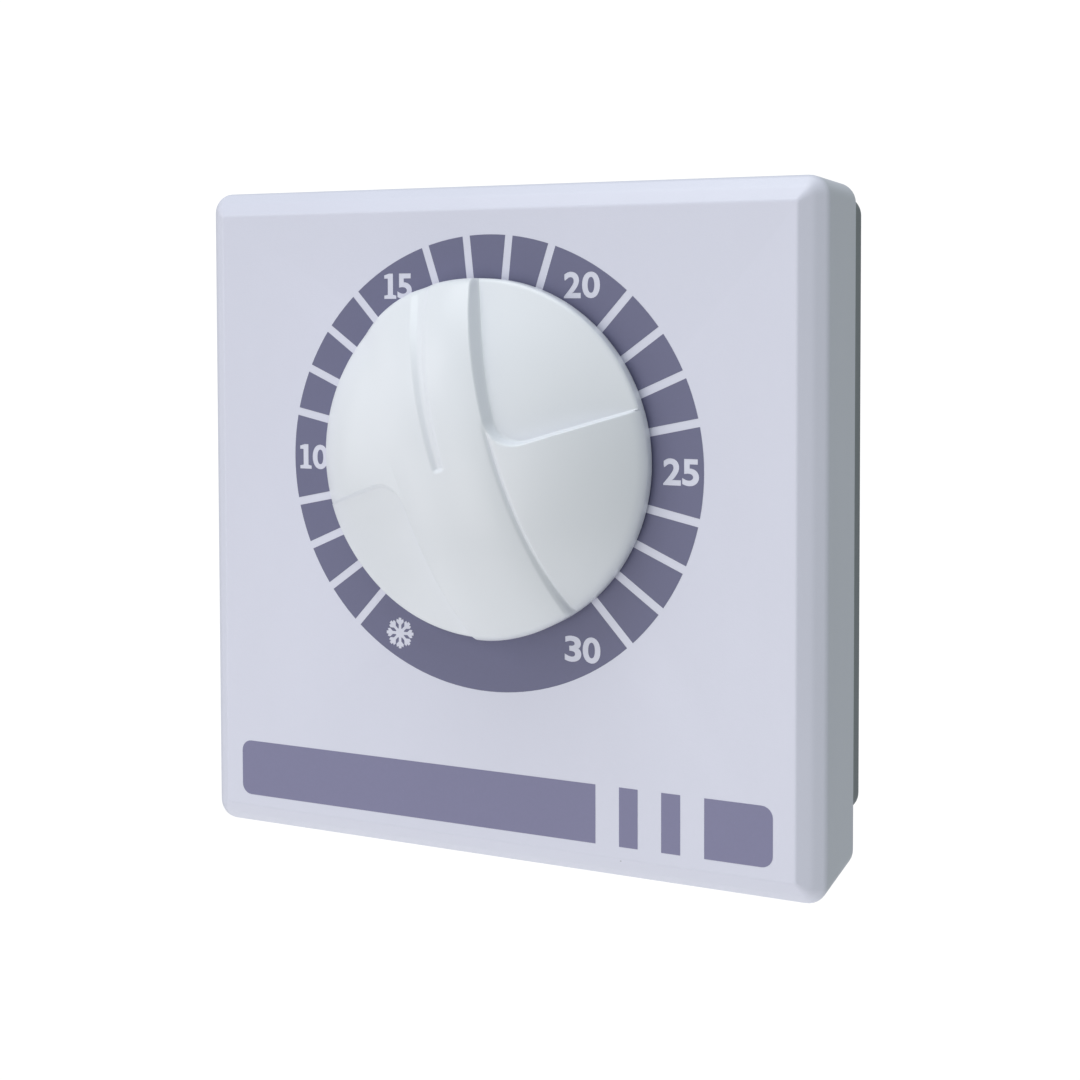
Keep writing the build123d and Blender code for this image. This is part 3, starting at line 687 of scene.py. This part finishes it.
# ---- Knob ----------------------------------------------------------------------------------
class KnobForm:
    """The knob's upper surface as a height over (along, across): along runs towards the pointer."""

    SCOOP_LEAD = 0.45 * MM
    TAIL_SLOPE = 0.6 * MM
    FLARE_START = 0.84
    BAR_BLEND = 0.3 * MM
    BLEND_REACH = 5 * MM
    BAR_STEP = 0.35 * MM
    TIP_REACH = 4 * MM
    SEAM_OFFSET = 0.1 * MM
    SEAM_SPREAD = 0.22 * MM
    FILL = 0.75
    FILL_REACH = 9 * MM
    HOLLOW_RIM = 0.45

    def __init__(self, size):
        self.size = size
        self.radius = (KNOB_HIGH.x - KNOB_LOW.x) / 2 - size.rim_inset
        self.half_grip = size.grip_width / 2

    def arch(self, distance, top, end, fullness):
        """A height that falls from the axis to the rim."""
        t = distance / self.radius
        fall = (1 - fullness) * t ** 2 + fullness * t ** 4
        return top - (top - end) * fall

    def bar(self, along, across):
        """The rib that fingers turn, a little crowned."""
        size = self.size
        crest = self.arch(along, size.crest, size.crest_end, 0.1)
        return crest - size.crown * (abs(across) / self.half_grip) ** 2.4

    def shoulder(self, reach):
        """The full quarters, nearly level with the bar."""
        return self.arch(reach, self.size.shoulder, self.size.shoulder_end, 0.275)

    def scoop(self, reach):
        """The hollow quarters, where the fingers press."""
        return self.arch(reach, self.size.scoop, self.size.scoop_end, -0.3)

    def scoop_depth(self, along, across):
        """How far a point is inside a hollow quarter, measured from its rounded border."""
        u = along + self.SCOOP_LEAD
        v = across - self.half_grip
        corner = self.size.scoop_corner
        if u < corner and v < corner:
            return corner - math.hypot(corner - u, corner - v)
        return min(u, v)

    def groove(self, along, across):
        """The pointer's groove, which widens and deepens where it meets the rim."""
        size = self.size
        flare = smoothstep((along / self.radius - self.FLARE_START) / (1 - self.FLARE_START))
        half = size.groove_width / 2 * (1 + 0.5 * max(0.0, along) / self.radius + 0.5 * flare)
        depth = size.groove_depth * (1 + 0.15 * flare)
        tail = smoothstep((along + size.groove_tail) / self.TAIL_SLOPE)
        return depth * tail * smoothstep(1.15 - 1.15 * abs(across) / half)

    def height(self, along, across):
        """Height above the face. The form repeats after half a turn, apart from the groove."""
        size = self.size
        reach = math.hypot(along, across)
        notch = self.groove(along, across)
        left_half = across < 0
        if left_half:
            along, across = -along, -across
        shoulder = self.shoulder(reach)
        if left_half and along < 0:
            blend = self.BAR_BLEND * smoothstep(-along / self.BLEND_REACH)
            level = higher_of(self.bar(along, across), shoulder, blend)
        else:
            bar = self.bar(along, min(across, self.half_grip))
            off_bar = smoothstep((across - self.half_grip) / self.BAR_STEP)
            towards_tip = smoothstep(along / self.TIP_REACH)
            outside = shoulder + (bar - shoulder) * towards_tip
            level = bar + (outside - bar) * off_bar
            if not left_half:
                off_seam = across - self.half_grip - self.SEAM_OFFSET
                seam = math.exp(-(off_seam / self.SEAM_SPREAD) ** 2)
                level -= size.seam * seam * (1 - towards_tip)
        scooped = smoothstep(self.scoop_depth(along, across) / size.scoop_step)
        hollow = self.scoop(reach)
        if left_half:
            hollow += (shoulder - hollow) * self.FILL * (1 - smoothstep(along / self.FILL_REACH))
        level += (hollow - level) * scooped
        rounding = size.rim_rounding * (self.HOLLOW_RIM if scooped > 0.5 else 1.0)
        over = (reach - (self.radius - rounding)) / rounding
        if over > 0:
            level -= rounding * (1 - math.sqrt(max(0.0, 1 - min(over, 1.0) ** 2)))
        return level - notch


def higher_of(one, two, blend):
    """The larger of two heights, with a soft change between them."""
    return (one + two + math.hypot(one - two, blend)) / 2


def spread(start, end, pitch):
    """Places from start up to end, evenly spaced, without the end."""
    count = max(1, round((end - start) / pitch))
    return [start + (end - start) * i / count for i in range(count)]


def mirrored(places):
    """The places and their negatives, in order, with 0 once."""
    return sorted({-p for p in places} | set(places))


def knob_columns(form):
    """Places across the knob, close together where the surface turns sharply."""
    rim = form.radius - 1.3 * MM
    grip = form.half_grip
    borders = (0, 1.3 * MM, grip - 0.7 * MM, grip + 0.9 * MM, grip + 4.2 * MM, rim)
    places = []
    for start, end, pitch in zip(borders, borders[1:], (0.1, 0.5, 0.09, 0.22, 0.5)):
        places += spread(start, end, pitch * MM)
    places += [rim + (form.radius - rim) * math.sin(math.radians(a)) for a in range(0, 90, 10)]
    places.append(0.9993 * form.radius)
    return mirrored(places)


def knob_rows(form):
    """Places along the knob, as shares of the half chord."""
    places = spread(0, 0.21, 0.0046)
    places += spread(0.21, 0.937, 0.021)
    places += [0.937 + 0.063 * math.sin(math.radians(a)) for a in range(0, 90, 10)]
    places.append(1.0)
    return mirrored(places)


def knob_place(form, face, along, across, height):
    """A point of the knob, from its own directions to the frame's."""
    angle = form.size.pointer
    x = AXIS_X + along * math.cos(angle) + across * math.sin(angle)
    z = AXIS_Z + along * math.sin(angle) - across * math.cos(angle)
    return (x, face - height, z)


def build_knob(form, face, gap):
    """The knob's top and side as a closed solid."""
    columns = knob_columns(form)
    rows = knob_rows(form)
    shape = Shape()
    grid = []
    for across in columns:
        chord = math.sqrt(form.radius ** 2 - across ** 2)
        points = [knob_place(form, face, t * chord, across, form.height(t * chord, across))
                  for t in rows]
        grid.append(shape.row(points))
    for one, two in zip(grid, grid[1:]):
        shape.bridge(one, two, closed=False)
    rim = grid[0] + [column[-1] for column in grid[1:-1]]
    rim += grid[-1][::-1] + [column[0] for column in grid[-2:0:-1]]
    rings = [rim]
    for height, inset in ((gap + 0.25 * MM, 0.0), (gap + 0.07 * MM, 0.07 * MM), (gap, 0.25 * MM)):
        ring = []
        for number in rim:
            x, _, z = shape.points[number]
            away = Vector((x - AXIS_X, z - AXIS_Z))
            away *= (away.length - inset) / away.length
            ring.append((AXIS_X + away.x, face - height, AXIS_Z + away.y))
        rings.append(shape.row(ring))
    for one, two in zip(rings, rings[1:]):
        shape.bridge(one, two)
    shape.faces.append(tuple(rings[-1]))
    return shape.build("knob_grip")


def turned_ring(name, face, section, steps):
    """A ring about the dial's axis from a closed section of (radius, height)."""
    shape = Shape()
    rings = []
    for radius, height in section:
        rings.append([(x, face - height, z) for x, z in circle(radius, steps)])
    shape.loft(rings, capped=False)
    return shape.build(name)


def hollow_knob(knob, form, face, gap):
    """Cuts the knob hollow round its boss, and adds the rib that meets the stop."""
    size = form.size
    boss_radius = 4.5 * MM
    shaft_radius = 2.01 * MM
    shaft_height = 6.6 * MM
    rib_height = 5.2 * MM
    outer = form.radius - size.wall
    below = gap - 1.0 * MM
    section = [(boss_radius, below), (outer, below), (outer, 0.55 * size.scoop_end)]
    for i in range(1, 9):
        reach = outer + (boss_radius - outer) * i / 8
        section.append((reach, form.scoop(reach) - size.wall))
    combine(knob, turned_ring("hollow_cutter", face, section, 72))
    shaft = circle(shaft_radius, 32)
    combine(knob, prism("shaft_cutter", shaft, face - below, face - shaft_height, "Y"))
    rib = stop_outline(math.degrees(size.pointer), 10)
    combine(knob, prism("stop_rib", rib, face - gap, face - rib_height, "Y"), "UNION")


class THERMOSTAT_OT_knob(bpy.types.Operator):
    """Builds the knob with its bar, scoops and pointer groove in place of the plain one"""

    bl_idname = "thermostat.knob"
    bl_label = "Knob"

    def execute(self, context):
        settings = context.scene.thermostat
        gap = settings.cover.knob_gap
        face = KNOB_HIGH.y + gap
        form = KnobForm(settings.knob)
        knob = build_knob(form, face, gap)
        hollow_knob(knob, form, face, gap)
        soften(knob, 62)
        dress(knob, moulded_plastic("knob_plastic_finish", settings.finishes.knob, 0.36, 0.12,
                                    coat=0.10, specks=False, flow_marks=0.05))
        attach(knob, "dial")
        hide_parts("knob")
        return {"FINISHED"}


# ---- Print on the face ---------------------------------------------------------------------
FIGURE_WIDTHS = {"0": 0.74, "1": 0.55, "2": 0.70, "3": 0.70, "5": 0.66}
FIGURE_GAP = 0.05
FIGURE_WEIGHT = 0.03
SCALE_MARKS = {180: "10", 120: "15", 60: "20", 0: "25", -60: "30"}
FROST_MARK = 240
FIRST_LINE = -48
LAST_LINE = 228
DEGREE_STEP = 12
# Where each stripe starts and ends, in millimetres to the right of the ring's middle.
STRIPES = ((-34.85, 13.53), (16.44, 18.71), (21.55, 23.82), (26.65, 34.56))


def figure_one():
    """The outline of a 1 with a flag and a slab foot, one unit high."""
    return [(0.0, 0.0), (0.55, 0.0), (0.55, 0.13), (0.40, 0.16), (0.40, 1.0), (0.22, 1.0),
            (0.0, 0.93), (0.0, 0.80), (0.16, 0.80), (0.16, 0.16), (0.0, 0.13)]


def signed_area(points):
    """The area inside an outline, negative when it runs clockwise."""
    return sum(a[0] * b[1] - b[0] * a[1] for a, b in zip(points, points[1:] + points[:1])) / 2


def thicken(points, amount):
    """Moves an outline to its right-hand side by an amount."""
    moved = []
    for before, point, after in zip(points[-1:] + points[:-1], points, points[1:] + points[:1]):
        run = (Vector(point) - Vector(before)).normalized()
        next_run = (Vector(after) - Vector(point)).normalized()
        out = Vector((run.y + next_run.y, -run.x - next_run.x))
        reach = 2 * amount / max(out.length_squared, 1.0)
        moved.append((point[0] + out.x * reach, point[1] + out.y * reach))
    return moved


def figure_outlines(figure):
    """The outlines of one figure, one unit high, with its left edge at 0."""
    if figure == "1":
        return [figure_one()]
    text = bpy.data.curves.new("figure", "FONT")
    text.body = figure
    holder = stand("figure", text)
    bpy.context.view_layer.update()
    graph = bpy.context.evaluated_depsgraph_get()
    outlines = []
    for spline in holder.evaluated_get(graph).to_curve(graph).splines:
        knots = spline.bezier_points
        points = []
        for one, two in zip(knots, list(knots[1:]) + [knots[0]]):
            span = interpolate_bezier(one.co, one.handle_right, two.handle_left, two.co, 7)
            points += [(p.x, p.y) for p in span[:-1]]
        outlines.append(points)
    bpy.data.objects.remove(holder)
    bpy.data.curves.remove(text)
    largest = max(outlines, key=lambda points: abs(signed_area(points)))
    weight = math.copysign(FIGURE_WEIGHT, signed_area(largest))
    outlines = [thicken(points, weight) for points in outlines]
    xs = [x for points in outlines for x, _ in points]
    ys = [y for points in outlines for _, y in points]
    wide = FIGURE_WIDTHS[figure] / (max(xs) - min(xs))
    high = 1 / (max(ys) - min(ys))
    return [[((x - min(xs)) * wide, (y - min(ys)) * high) for x, y in points]
            for points in outlines]


def number_outlines(number, centre, height):
    """The outlines of a number, upright and centred on a point."""
    total = sum(FIGURE_WIDTHS[f] for f in number) + FIGURE_GAP * (len(number) - 1)
    left = -total / 2
    outlines = []
    for figure in number:
        for points in figure_outlines(figure):
            outlines.append([(centre[0] + (left + x) * height, centre[1] + (y - 0.5) * height)
                             for x, y in points])
        left += FIGURE_WIDTHS[figure] + FIGURE_GAP
    return outlines


def frost_outline(centre, radius):
    """A snowflake of eight arms with forked tips, as one outline."""
    arms = 8
    half_arm = [(0.30, -0.10), (0.54, -0.10), (0.73, -0.28), (0.92, -0.25), (0.86, -0.11),
                (1.0, -0.10)]
    outline = []
    for i in range(arms):
        turn = math.radians(90 + 360 * i / arms)
        arm = half_arm + [(reach, -side) for reach, side in reversed(half_arm)]
        for reach, side in arm:
            x = reach * math.cos(turn) - side * math.sin(turn)
            z = reach * math.sin(turn) + side * math.cos(turn)
            outline.append((centre[0] + x * radius, centre[1] + z * radius))
    return outline


def field_outline(start, end, size, centre):
    """One field of the ring between two lines, angles in degrees."""
    half_line = size.line_width / 2
    outer = math.degrees(math.asin(half_line / size.outer_radius))
    inner = math.degrees(math.asin(half_line / size.inner_radius))
    steps = max(3, round((end - start) / 2.5))
    outline = arc(centre, size.outer_radius, start + outer, end - outer, steps)
    return outline + arc(centre, size.inner_radius, end - inner, start + inner, steps)


def film_of_ink(name, outlines, face, thickness):
    """A thin film on the face with these outlines. An outline inside another one is a hole."""
    curve = bpy.data.curves.new(name, "CURVE")
    curve.dimensions = "2D"
    curve.fill_mode = "BOTH"
    curve.extrude = thickness / 2
    for points in outlines:
        spline = curve.splines.new("POLY")
        spline.points.add(len(points) - 1)
        for knot, (x, z) in zip(spline.points, points):
            knot.co = (x, z, 0.0, 1.0)
        spline.use_cyclic_u = True
    drawn = stand(name + "_drawing", curve)
    mesh = drawn_mesh(drawn)
    bpy.data.objects.remove(drawn)
    bpy.data.curves.remove(curve)
    for vertex in mesh.vertices:
        x, z, up = vertex.co
        vertex.co = (x, face - thickness / 2 - up, z)
    clean(mesh)
    return stand(name, mesh)


def ring_outlines(size, centre):
    """The ring's fields, with the numbers and the snowflake left open."""
    lines = [a for a in range(FIRST_LINE, LAST_LINE + 1, DEGREE_STEP) if a not in SCALE_MARKS]
    spans = list(zip(lines, lines[1:])) + [(LAST_LINE, FIRST_LINE + 360)]
    outlines = [field_outline(start, end, size, centre) for start, end in spans]
    for angle, number in SCALE_MARKS.items():
        spot = arc(centre, size.figure_radius, angle, angle, 1)[0]
        outlines += number_outlines(number, spot, size.figure_height)
    spot = arc(centre, size.figure_radius, FROST_MARK, FROST_MARK, 1)[0]
    outlines.append(frost_outline(spot, size.frost_radius))
    return outlines


def stripe_outlines(size, centre):
    """The row of stripes: a long bar, two short ones and a block, rounded at the row's ends."""
    top = centre[1] - size.stripe_top
    bottom = top - size.stripe_height
    corner = size.stripe_corner
    outlines = []
    for number, (start, end) in enumerate(STRIPES):
        left = centre[0] + start * MM
        right = centre[0] + end * MM
        if number == 0:
            outline = arc((left + corner, top - corner), corner, 90, 180, 6)
            outline += arc((left + corner, bottom + corner), corner, 180, 270, 6)
            outline += [(right, bottom), (right, top)]
        elif number == len(STRIPES) - 1:
            outline = arc((right - corner, bottom + corner), corner, 270, 360, 6)
            outline += arc((right - corner, top - corner), corner, 0, 90, 6)
            outline += [(left, top), (left, bottom)]
        else:
            outline = [(left, bottom), (right, bottom), (right, top), (left, top)]
        outlines.append(outline)
    return outlines


class THERMOSTAT_OT_print(bpy.types.Operator):
    """Prints the ring of the scale and the stripes under it on the cover's face"""

    bl_idname = "thermostat.print"
    bl_label = "Print"

    def execute(self, context):
        settings = context.scene.thermostat
        size = settings.print
        face = KNOB_HIGH.y + settings.cover.knob_gap
        centre = (AXIS_X, AXIS_Z - size.drop)
        tones = settings.finishes
        for name, outlines, tone in (
                ("dial_scale", ring_outlines(size, centre), tones.ink),
                ("face_stripes", stripe_outlines(size, centre), tones.stripe_ink)):
            film = film_of_ink(name, outlines, face, size.film)
            dress(film, printed_ink(name + "_finish", tone))
            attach(film, "housing")
        return {"FINISHED"}


# ---- Pieces that keep their shape ----------------------------------------------------------
class THERMOSTAT_OT_base(bpy.types.Operator):
    """Gives the base plate its moulded finish, whose dark grey holds painted shade"""

    bl_idname = "thermostat.base"
    bl_label = "Base plate"

    def execute(self, context):
        tones = context.scene.thermostat.finishes
        # This finish is the base's own grey darkened with painted shade.
        finish_nodes(moulded_plastic("base_plastic_painted_shade_finish", tones.base, 0.5, 0.9), "base_plate")
        return {"FINISHED"}


class THERMOSTAT_OT_fixings(bpy.types.Operator):
    """Gives the bridge, screws, pins, springs and spindle their metal finishes"""

    bl_idname = "thermostat.fixings"
    bl_label = "Bridge, spindle and fixings"

    def execute(self, context):
        tones = context.scene.thermostat.finishes
        zinc = plated_metal("zinc_steel_finish", tones.zinc, 0.38, stain=0.5)
        bright = plated_metal("bright_steel_finish", lighter(tones.zinc, 1.15), 0.22,
                              (1.0, 4.0, 1.0))
        spring = plated_metal("spring_steel_finish", lighter(tones.zinc, 0.75), 0.30,
                              (4.0, 1.0, 4.0))
        brass = plated_metal("turned_brass_finish", tones.brass, 0.26, (1.0, 5.0, 1.0))
        finish_nodes(zinc, "cover_screw", "mechanism_bridge", "bridge_screws", "block_screws")
        finish_nodes(bright, "guide_pins", "spindle")
        finish_nodes(spring, "backlash_springs", "spindle_clip", "grip_clip", "friction_washer")
        finish_nodes(brass, "spindle_bush")
        return {"FINISHED"}


class THERMOSTAT_OT_capsule(bpy.types.Operator):
    """Gives the gas capsule and its carriage their finishes"""

    bl_idname = "thermostat.capsule"
    bl_label = "Capsule and carriage"

    def execute(self, context):
        tones = context.scene.thermostat.finishes
        sheet = plated_metal("capsule_metal_finish", tones.capsule, 0.30, (1.0, 1.0, 6.0), 0.35)
        finish_nodes(moulded_plastic("carriage_plastic_finish", tones.carriage, 0.42, 0.4),
                     "capsule_carriage")
        finish_nodes(sheet, "capsule_front", "capsule_rear", "capsule_button")
        return {"FINISHED"}


class THERMOSTAT_OT_switch(bpy.types.Operator):
    """Gives the snap switch and its plunger their finishes"""

    bl_idname = "thermostat.switch"
    bl_label = "Snap switch"

    def execute(self, context):
        tones = context.scene.thermostat.finishes
        case = moulded_plastic("switch_plastic_finish", tones.switch, 0.45, 0.8, specks=False)
        bronze = plated_metal("contact_bronze_finish", tones.bronze, 0.28, (5.0, 1.0, 1.0), 0.4)
        finish_nodes(case, "switch_case", "switch_lid")
        finish_nodes(bronze, "switch_blade", "switch_fixed_contact")
        finish_nodes(moulded_plastic("plunger_plastic_finish", tones.plunger, 0.35, 0.3,
                                     specks=False), "switch_plunger")
        return {"FINISHED"}


class THERMOSTAT_OT_terminals(bpy.types.Operator):
    """Gives the terminal block, its metal parts and the resistor their finishes"""

    bl_idname = "thermostat.terminals"
    bl_label = "Terminals"

    def execute(self, context):
        tones = context.scene.thermostat.finishes
        brass = plated_metal("strip_brass_finish", tones.brass, 0.34, (1.0, 1.0, 6.0), 0.55)
        finish_nodes(moulded_plastic("terminal_plastic_finish", tones.terminal, 0.48, 0.7),
                     "terminal_block")
        finish_nodes(brass, "terminal_clamps", "terminal_screws", "common_strip", "output_strip")
        finish_nodes(lacquered_body("resistor_coat_finish", tones.resistor, (0.09, 0.05, 0.03)),
                     "accelerator_resistor")
        return {"FINISHED"}


# ---- Stage ---------------------------------------------------------------------------------
def build_floor(drop, radius):
    """A round pale floor under the thermostat."""
    thickness = 5 * MM
    level = cad_box[0].z - drop
    floor = prism("floor", circle(radius, 96, 0.0, 0.0), level - thickness, level, "Z")
    finish = Finish("pale_floor_finish")
    place = finish.place()
    cloud = finish.noise(place, 6.0)
    fine = finish.noise(place, 900.0)
    tone = finish.mix(cloud, (0.89, 0.88, 0.88), (0.93, 0.92, 0.92))
    rough = 0.75 + 0.2 * (fine - 0.5)
    floor.data.materials.append(finish.close(Base_Color=tone, Roughness=rough,
                                             Normal=finish.bump(fine, 0.05 * MM),
                                             Emission_Color=tone, Emission_Strength=0.32))


def build_light(name, place, size, power, tone):
    """A square soft light that looks at the thermostat."""
    lamp = bpy.data.lights.new(name, "AREA")
    lamp.shape = "SQUARE"
    lamp.size = size
    lamp.energy = power
    lamp.color = tone
    holder = stand(name, lamp)
    holder.location = place
    holder.rotation_euler = (-Vector(place)).to_track_quat("-Z", "Y").to_euler()


def build_world(strength):
    """A white surround: bright where it is looked at, and softer as a light."""
    seen_strength = 1.05
    studio = Finish("studio", "worlds")
    seen = studio.add("ShaderNodeLightPath", output="Is Camera Ray")
    level = studio.add("ShaderNodeMapRange", None,
                       {"Value": seen, "To Min": strength, "To Max": seen_strength})
    tint = studio.mix(seen, (0.90, 1.0, 0.93), (1.0, 1.0, 1.0))
    background = studio.add("ShaderNodeBackground", None, {"Color": tint, "Strength": level})
    studio.add("ShaderNodeOutputWorld", None, {"Surface": background})
    bpy.context.scene.world = studio.owner


def build_camera(stage):
    """The camera, a little above the middle and to the thermostat's right."""
    lens = bpy.data.cameras.new("camera")
    lens.lens = stage.lens
    lens.sensor_width = 36.0
    lens.shift_x = stage.shift_x
    lens.shift_y = stage.shift_y
    lens.clip_start = 0.01
    camera = stand("camera", lens)
    camera.location = stage.camera_place
    camera.rotation_euler = (math.pi / 2 - stage.tilt, 0.0, stage.azimuth)
    bpy.context.scene.camera = camera


class THERMOSTAT_OT_stage(bpy.types.Operator):
    """Sets up the floor, the soft lights and the camera"""

    bl_idname = "thermostat.stage"
    bl_label = "Stage"

    def execute(self, context):
        stage = context.scene.thermostat.stage
        build_floor(stage.floor_drop, stage.floor_radius)
        build_light("key_light", (-0.75, -0.85, 0.70), 0.5, 1.7, (1.0, 0.97, 0.98))
        build_light("front_light", (-0.10, -1.10, 0.35), 0.8, 1.5, (1.0, 0.97, 0.98))
        build_light("top_light", (-0.10, -0.25, 1.10), 0.8, 6.6, (0.94, 0.99, 1.0))
        build_light("left_light", (-1.10, -0.30, 0.15), 0.7, 1.2, (1.0, 0.98, 1.0))
        build_light("low_light", (-0.10, -0.85, -0.22), 0.5, 1.3, (1.0, 0.95, 0.93))
        build_light("corner_light", (-0.70, -0.70, -0.30), 0.5, 0.7, (1.0, 0.95, 0.92))
        build_world(0.36)
        build_camera(stage)
        context.scene.view_settings.view_transform = "Standard"
        return {"FINISHED"}


# ---- Panel and registration ----------------------------------------------------------------
PIECE_OPERATORS = (THERMOSTAT_OT_cover, THERMOSTAT_OT_knob, THERMOSTAT_OT_print,
                   THERMOSTAT_OT_base, THERMOSTAT_OT_fixings, THERMOSTAT_OT_capsule,
                   THERMOSTAT_OT_switch, THERMOSTAT_OT_terminals, THERMOSTAT_OT_stage)
GROUPS = (ThermostatCover, ThermostatKnob, ThermostatPrint, ThermostatFinishes, ThermostatStage)


class THERMOSTAT_PT_panel(bpy.types.Panel):
    """Lists the thermostat's pieces and their sizes and colours"""

    bl_idname = "THERMOSTAT_PT_panel"
    bl_label = "Wall Thermostat"
    bl_space_type = "VIEW_3D"
    bl_region_type = "UI"
    bl_category = "Thermostat"

    def draw(self, context):
        for operator in PIECE_OPERATORS:
            self.layout.operator(operator.bl_idname)
        settings = context.scene.thermostat
        for name in ThermostatSettings.__annotations__:
            group = getattr(settings, name)
            box = self.layout.box()
            box.label(text=name.capitalize())
            for key in type(group).__annotations__:
                box.prop(group, key)


CLASSES = (*GROUPS, ThermostatSettings, *PIECE_OPERATORS, THERMOSTAT_PT_panel)


def register():
    for item in CLASSES:
        bpy.utils.register_class(item)
    bpy.types.Scene.thermostat = PointerProperty(type=ThermostatSettings)


def unregister():
    del bpy.types.Scene.thermostat
    for item in reversed(CLASSES):
        bpy.utils.unregister_class(item)


def main():
    register()
    bpy.ops.thermostat.cover()
    bpy.ops.thermostat.knob()
    bpy.ops.thermostat.print()
    bpy.ops.thermostat.base()
    bpy.ops.thermostat.fixings()
    bpy.ops.thermostat.capsule()
    bpy.ops.thermostat.switch()
    bpy.ops.thermostat.terminals()
    bpy.ops.thermostat.stage()


if __name__ == "__main__":
    main()
